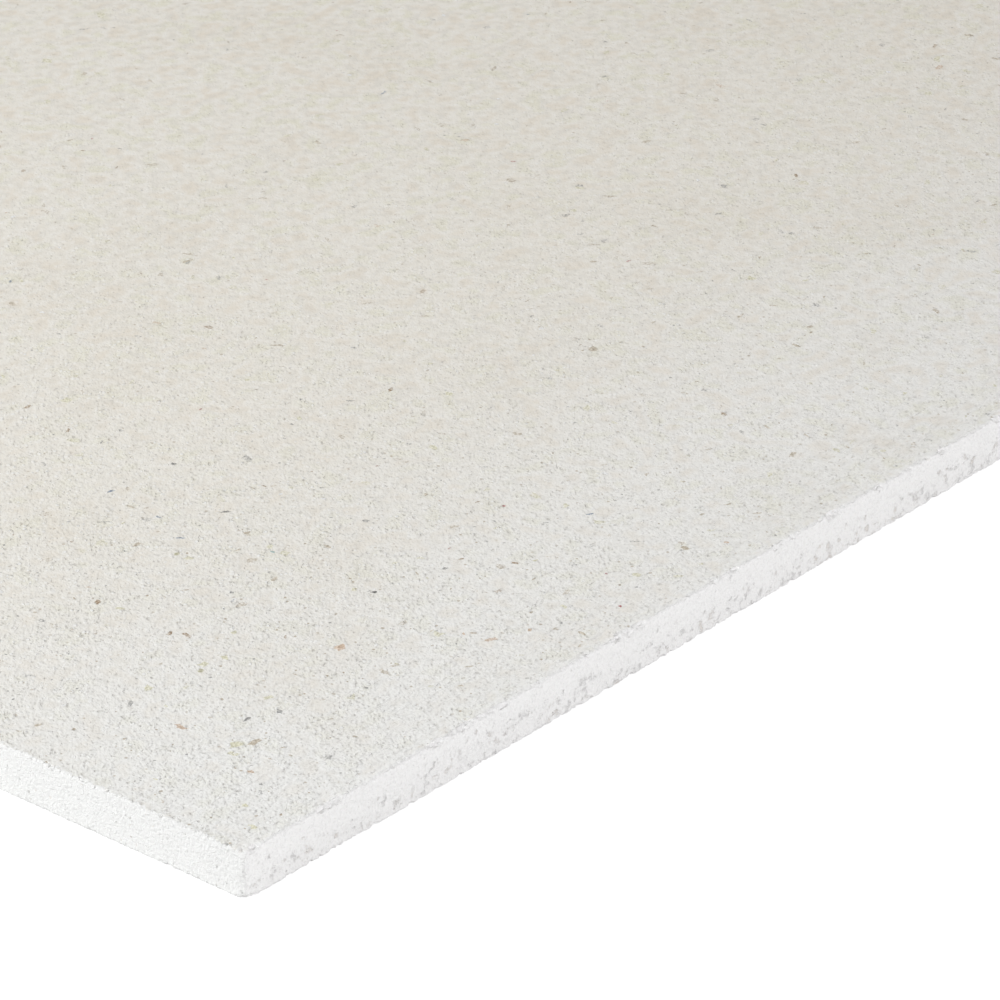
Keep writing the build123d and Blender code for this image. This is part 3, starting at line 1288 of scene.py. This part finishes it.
MARKED_FLECKS = (
    MarkedFleck((98, 602), 2.4 * MM, 1.3 * MM, 75, BROWN),
    MarkedFleck((170, 633), 3.0 * MM, 1.2 * MM, 80, BROWN),
    MarkedFleck((187, 635), 3.8 * MM, 1.5 * MM, -42, BROWN),
    MarkedFleck((339, 647), 3.4 * MM, 2.6 * MM, 80, ORANGE),
    MarkedFleck((181, 727), 4.8 * MM, 1.8 * MM, -40, ORANGE),
    MarkedFleck((253, 742), 4.8 * MM, 2.0 * MM, 47, TAN),
    MarkedFleck((147, 688), 3.4 * MM, 2.4 * MM, 90, YELLOW),
    MarkedFleck((205, 664), 3.4 * MM, 2.6 * MM, 20, YELLOW),
    MarkedFleck((269, 698), 3.0 * MM, 1.8 * MM, 45, YELLOW),
    MarkedFleck((188, 558), 2.6 * MM, 2.2 * MM, 0, YELLOW),
    MarkedFleck((226, 512), 3.2 * MM, 1.2 * MM, 6, BLACK),
    MarkedFleck((181, 538), 3.2 * MM, 0.7 * MM, -3, BLUE),
    MarkedFleck((366, 521), 2.4 * MM, 1.6 * MM, 30, GREY),
    MarkedFleck((273, 552), 1.4 * MM, 1.1 * MM, -40, TEAL),
    MarkedFleck((177, 554), 2.0 * MM, 1.4 * MM, 40, OLIVE),
    MarkedFleck((201, 671), 2.4 * MM, 1.5 * MM, 70, OLIVE),
    MarkedFleck((247, 719), 2.6 * MM, 1.1 * MM, 57, GREY),
    MarkedFleck((279, 711), 3.2 * MM, 1.2 * MM, -55, GREY),
    MarkedFleck((130, 704), 3.8 * MM, 1.1 * MM, 75, GREY),
    MarkedFleck((374, 592), 1.7 * MM, 1.2 * MM, 0, BLACK),
    MarkedFleck((173, 464), 1.6 * MM, 1.2 * MM, 0, BLACK),
    MarkedFleck((504, 506), 1.4 * MM, 1.1 * MM, 0, RED),
    MarkedFleck((620, 606), 1.4 * MM, 1.1 * MM, 0, RED),
    MarkedFleck((590, 514), 2.4 * MM, 0.8 * MM, 10, BLUE),
    MarkedFleck((461, 559), 2.2 * MM, 1.2 * MM, 20, BROWN),
    MarkedFleck((515, 563), 2.2 * MM, 1.2 * MM, -20, BROWN),
)


@dataclass(frozen=True)
class MarkedFlecks:
    """The flecks that stand out in the photograph, each set into the face where it shows there."""

    view: PhotoView
    name: str = "marked_flecks"
    proud: float = 0.06 * MM
    veil: float = 0.12
    sides: int = 10

    def spots(self) -> Mesh:
        """Makes one loose point for each fleck.

        Returns:
            A mesh of points with their sizes, turns and colours.
        """
        mesh = bpy.data.meshes.new("marked_spots")
        mesh.from_pydata([self.view.on_face(fleck.pixel) for fleck in MARKED_FLECKS], [], [])
        turns = [self.view.azimuth + math.radians(fleck.lean) for fleck in MARKED_FLECKS]
        keep(mesh, "long", "FLOAT", [fleck.length for fleck in MARKED_FLECKS])
        keep(mesh, "wide", "FLOAT", [fleck.width for fleck in MARKED_FLECKS])
        keep(mesh, "turn", "FLOAT", turns)
        keep(mesh, "hue", "FLOAT_COLOR", [rgba(fleck.paint) for fleck in MARKED_FLECKS])
        return mesh

    def build(self, material: Material) -> Object:
        """Sets the flecks.

        Args:
            material: their finish.

        Returns:
            Their object.
        """
        tree = FleckTree(self.name)
        inputs = {"Angle": tree.attribute("turn")}
        turned = tree.add("FunctionNodeAxisAngleToRotation", inputs).outputs[0]
        points = tree.store(tree.start.outputs[0], "veil", tree.value("Veil", self.veil))
        points = tree.store(points, "facing", UP, "FLOAT_VECTOR")
        lengths = (tree.attribute("long"), tree.attribute("wide"), tree.value("Proud", self.proud))
        hue = tree.attribute("hue", "FLOAT_COLOR")
        tree.finish(tree.press(points, hue, turned, lengths, self.sides), material)
        return add_piece(self.name, tree.run(self.spots()))


@dataclass(frozen=True)
class Lamp:
    """One soft square lamp, placed and aimed from the board's near corner, its spread in degrees."""

    name: str
    place: tuple[float, float, float]
    aim: tuple[float, float, float]
    power: float
    size: float
    spread: float
    colour: Colour

    def hang(self, corner: Vector) -> None:
        """Hangs the lamp.

        Args:
            corner: the board's near corner.
        """
        data = bpy.data.lights.new(self.name, "AREA")
        data.energy = self.power
        data.size = self.size
        data.spread = math.radians(self.spread)
        data.color = self.colour
        lamp = bpy.data.objects.new(self.name, data)
        turn = (Vector(self.place) - Vector(self.aim)).to_track_quat("Z", "Y").to_matrix().to_4x4()
        lamp.matrix_world = Matrix.Translation(corner + Vector(self.place)) @ turn
        bpy.context.scene.collection.objects.link(lamp)


LAMPS = (
    Lamp("key", (-0.885, 0.82, 0.75), (-0.21, 0.20, 0.0), 7.7, 1.0, 120, (0.965, 0.99, 1.0)),
    Lamp("front", (0.12, -2.00, 0.35), (0.30, 0.0, 0.0), 24.0, 1.2, 170, (0.97, 0.97, 1.0)),
    Lamp("rear", (1.45, 0.92, 1.4), (1.40, 0.88, 0.0), 1.7, 0.9, 74, (1.0, 0.99, 0.975)),
    Lamp("back", (3.90, 3.00, 0.30), (1.50, 1.00, 0.0), 42.0, 1.2, 170, (0.98, 0.98, 1.0)),
)


@dataclass(frozen=True)
class Studio:
    """The white floor, the soft lights and the photograph's camera."""

    view: PhotoView
    floor_size: float = 40.0
    floor_gap: float = 0.1 * MM
    floor_paper: Colour = (0.80, 0.80, 0.80)
    floor_shown: Colour = (0.52, 0.52, 0.52)
    floor_glow: float = 0.75
    ambient: float = 0.443
    ambient_tint: Colour = (1.0, 0.985, 0.965)

    def seen(self, graph: NodeGraph) -> NodeSocket:
        """Whether a ray shows the background to the camera, straight or by a mirror or glass.

        Args:
            graph: the material's or world's graph.

        Returns:
            The mask's socket.
        """
        path = graph.add("ShaderNodeLightPath").outputs
        mirrored = graph.math("MAXIMUM", path["Is Glossy Ray"], path["Is Transmission Ray"])
        return graph.math("MAXIMUM", path["Is Camera Ray"], mirrored)

    def world(self) -> None:
        """Lights the scene evenly, and shows white behind it."""
        world = bpy.data.worlds.new("studio")
        world.use_nodes = True
        world.node_tree.nodes.clear()
        graph = NodeGraph(world.node_tree)
        inputs = {"Color": rgba(self.ambient_tint), "Strength": self.ambient}
        dim = graph.add("ShaderNodeBackground", inputs).outputs[0]
        white = graph.add("ShaderNodeBackground", {"Color": rgba(WHITE), "Strength": 1.0}).outputs[0]
        mixed = graph.add("ShaderNodeMixShader", {0: self.seen(graph), 1: dim, 2: white})
        graph.add("ShaderNodeOutputWorld", {"Surface": mixed.outputs[0]})
        bpy.context.scene.world = world

    def floor(self) -> Object:
        """Lays the floor, which shows white but keeps the board's shadow.

        Returns:
            The floor's object.
        """
        material, graph, _ = Looks.start("white_floor")
        paper = graph.add("ShaderNodeBsdfDiffuse", {"Color": rgba(self.floor_paper)}).outputs[0]
        shown = graph.add("ShaderNodeBsdfDiffuse", {"Color": rgba(self.floor_shown)}).outputs[0]
        inputs = {"Color": rgba(WHITE), "Strength": self.floor_glow}
        glow = graph.add("ShaderNodeEmission", inputs).outputs[0]
        bright = graph.add("ShaderNodeAddShader", {0: shown, 1: glow}).outputs[0]
        mixed = graph.add("ShaderNodeMixShader", {0: self.seen(graph), 1: paper, 2: bright})
        graph.add("ShaderNodeOutputMaterial", {"Surface": mixed.outputs[0]})
        half = self.floor_size / 2
        corners = [(-half, -half), (half, -half), (half, half), (-half, half)]
        mesh = bpy.data.meshes.new("floor")
        mesh.from_pydata([(x, y, -self.floor_gap) for x, y in corners], [], [(0, 1, 2, 3)])
        mesh.materials.append(material)
        return add_piece("floor", mesh)

    def build(self) -> None:
        """Builds the whole studio."""
        self.view.hang()
        self.world()
        self.floor()
        for lamp in LAMPS:
            lamp.hang(self.view.corner)
        bpy.context.scene.view_settings.view_transform = "Standard"


def fasten(piece: Object) -> None:
    """Makes a piece part of the board and reports it.

    Args:
        piece: the finished piece.
    """
    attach(piece, BODY_NAME)
    piece.data.calc_loop_triangles()
    log.info("%s: %d triangles", piece.name, len(piece.data.loop_triangles))


def main() -> None:
    """Builds the board, its flecks and crumbs, and the studio."""
    logging.basicConfig(level=logging.INFO, format="%(name)s %(message)s")
    low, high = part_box(NODE_NAME)
    size = high - low
    specks = SpeckCells().group()
    looks = Looks(PressedFace(size.x / 2, size.y / 2).group(specks), SawnGypsum().group(specks))
    board = BoardSheet(size.x, size.y, size.z).build(looks)
    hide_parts(NODE_NAME)
    fasten(board)
    view = PhotoView(Vector((low.x, low.y, high.z)))
    paper = looks.fleck_material()
    for scatter in FLECKS:
        fasten(scatter.build(board, paper))
    fasten(MarkedFlecks(view).build(paper))
    crumb = looks.crumb_material()
    for scatter in CRUMBS:
        fasten(scatter.build(board, crumb))
    Studio(view).build()


if __name__ == "__main__":
    main()
